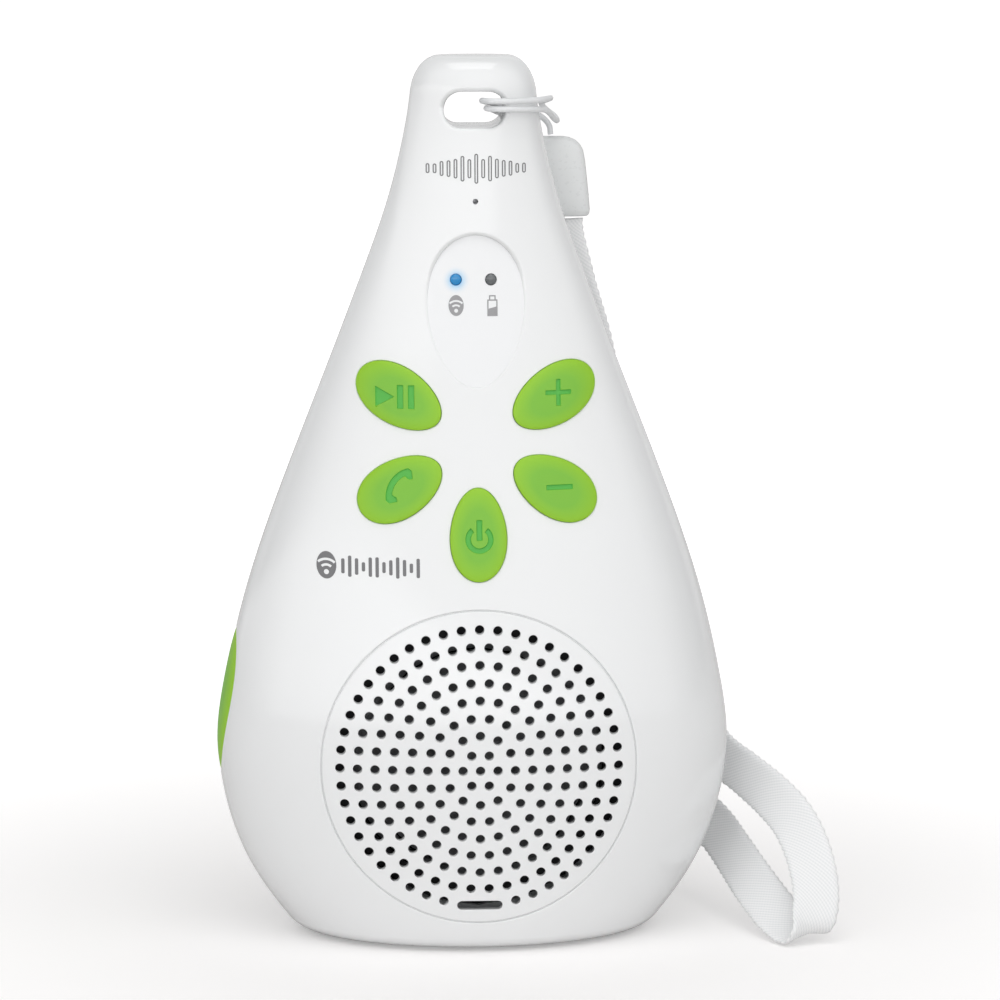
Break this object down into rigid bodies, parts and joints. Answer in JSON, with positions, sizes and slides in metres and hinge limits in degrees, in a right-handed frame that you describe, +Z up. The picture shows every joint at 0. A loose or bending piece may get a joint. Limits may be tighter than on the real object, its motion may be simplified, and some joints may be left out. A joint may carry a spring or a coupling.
{
  "type": "shower speaker",
  "caption": "Drop-shaped hanging loudspeaker with petal-shaped rubber buttons, a perforated round grille, a rubber port door and a wrist strap looped through its neck.",
  "frame": {"origin": "middle of the base pad underside, on the plane the speaker stands on", "axes": "+Z up through the neck, front with the grille and buttons towards -Y, +X to the right seen from the front"},
  "size_m": [0.104, 0.055, 0.148],
  "materials": {
    "gloss_white": "high gloss moulded ABS",
    "pearl_white": "gloss pearl insert",
    "green_rubber": "satin silicone",
    "soft_rubber": "matt silicone",
    "dark_plastic": "matt",
    "cone_black": "satin coated paper and rubber",
    "steel": "plated",
    "circuit_board": "solder mask",
    "copper": "enamelled copper wire",
    "treated_cloth": "resin-treated cloth",
    "battery_foil": "satin pouch foil",
    "twin_lead": "insulated twin lead",
    "flat_cable": "flat cable",
    "link_lens": "lit blue light pipe",
    "charge_lens": "grey light pipe",
    "cap_plastic": "satin moulded cap",
    "nylon_cord": "smooth nylon cord",
    "webbing": "woven nylon webbing"
  },
  "bodies": {
    "root": {"front_shell": "gloss_white", "rear_shell": "gloss_white", "speaker_grille": "gloss_white", "status_window": "pearl_white", "volume_up_switch": "dark_plastic", "volume_down_switch": "dark_plastic", "power_switch": "dark_plastic", "call_switch": "dark_plastic", "play_pause_switch": "dark_plastic", "shell_seal": "soft_rubber", "base_pad": "soft_rubber", "keypad_membrane": "soft_rubber", "speaker_gasket": "soft_rubber", "mic_boot": "soft_rubber", "rear_screw_1": "steel", "speaker_screw_1": "steel", "rear_screw_2": "steel", "speaker_screw_2": "steel", "rear_screw_3": "steel", "speaker_screw_3": "steel", "rear_screw_4": "steel", "speaker_screw_4": "steel", "speaker_magnet": "steel", "radio_module": "steel", "charge_socket": "steel", "microphone": "steel", "speaker_basket": "dark_plastic", "battery_tray": "dark_plastic", "port_tray": "dark_plastic", "aux_socket": "dark_plastic", "amplifier_chip": "dark_plastic", "link_lamp": "pearl_white", "charge_lamp": "pearl_white", "link_lens": "link_lens", "charge_lens": "charge_lens", "speaker_surround": "cone_black", "speaker_spider": "treated_cloth", "button_board": "circuit_board", "main_board": "circuit_board", "port_board": "circuit_board", "battery_cell": "battery_foil", "speaker_lead": "twin_lead", "battery_lead": "twin_lead", "board_ribbon": "flat_cable", "strap_cap": "cap_plastic", "lanyard_cord": "nylon_cord", "wrist_strap": "webbing"},
    "volume_up_key": {"volume_up_button": "green_rubber", "volume_up_plunger": "soft_rubber"},
    "volume_down_key": {"volume_down_button": "green_rubber", "volume_down_plunger": "soft_rubber"},
    "power_key": {"power_button": "green_rubber", "power_plunger": "soft_rubber"},
    "call_key": {"call_button": "green_rubber", "call_plunger": "soft_rubber"},
    "play_pause_key": {"play_pause_button": "green_rubber", "play_pause_plunger": "soft_rubber"},
    "door": {"port_door": "green_rubber"},
    "cone": {"speaker_cone": "cone_black", "voice_coil": "copper"}
  },
  "joints": [
    {"name": "volume_up_press", "type": "slide", "parent": "root", "child": "volume_up_key", "axis": [0, 0.9762, -0.2167], "range_m": [0, 0.0005], "stiffness_N_per_m": 2000},
    {"name": "volume_down_press", "type": "slide", "parent": "root", "child": "volume_down_key", "axis": [0, 0.9762, -0.2167], "range_m": [0, 0.0005], "stiffness_N_per_m": 2000},
    {"name": "power_press", "type": "slide", "parent": "root", "child": "power_key", "axis": [0, 0.9762, -0.2167], "range_m": [0, 0.0005], "stiffness_N_per_m": 2000},
    {"name": "call_press", "type": "slide", "parent": "root", "child": "call_key", "axis": [0, 0.9762, -0.2167], "range_m": [0, 0.0005], "stiffness_N_per_m": 2000},
    {"name": "play_pause_press", "type": "slide", "parent": "root", "child": "play_pause_key", "axis": [0, 0.9762, -0.2167], "range_m": [0, 0.0005], "stiffness_N_per_m": 2000},
    {"name": "port_door_swing", "type": "hinge", "parent": "root", "child": "door", "pos_m": [-0.0403, 0.0082, 0.0396], "axis": [0, 0, -1], "range_deg": [0, 100]},
    {"name": "cone_travel", "type": "slide", "parent": "root", "child": "cone", "axis": [0, 1, 0], "range_m": [-0.0008, 0.0008], "stiffness_N_per_m": 1000}
  ]
}
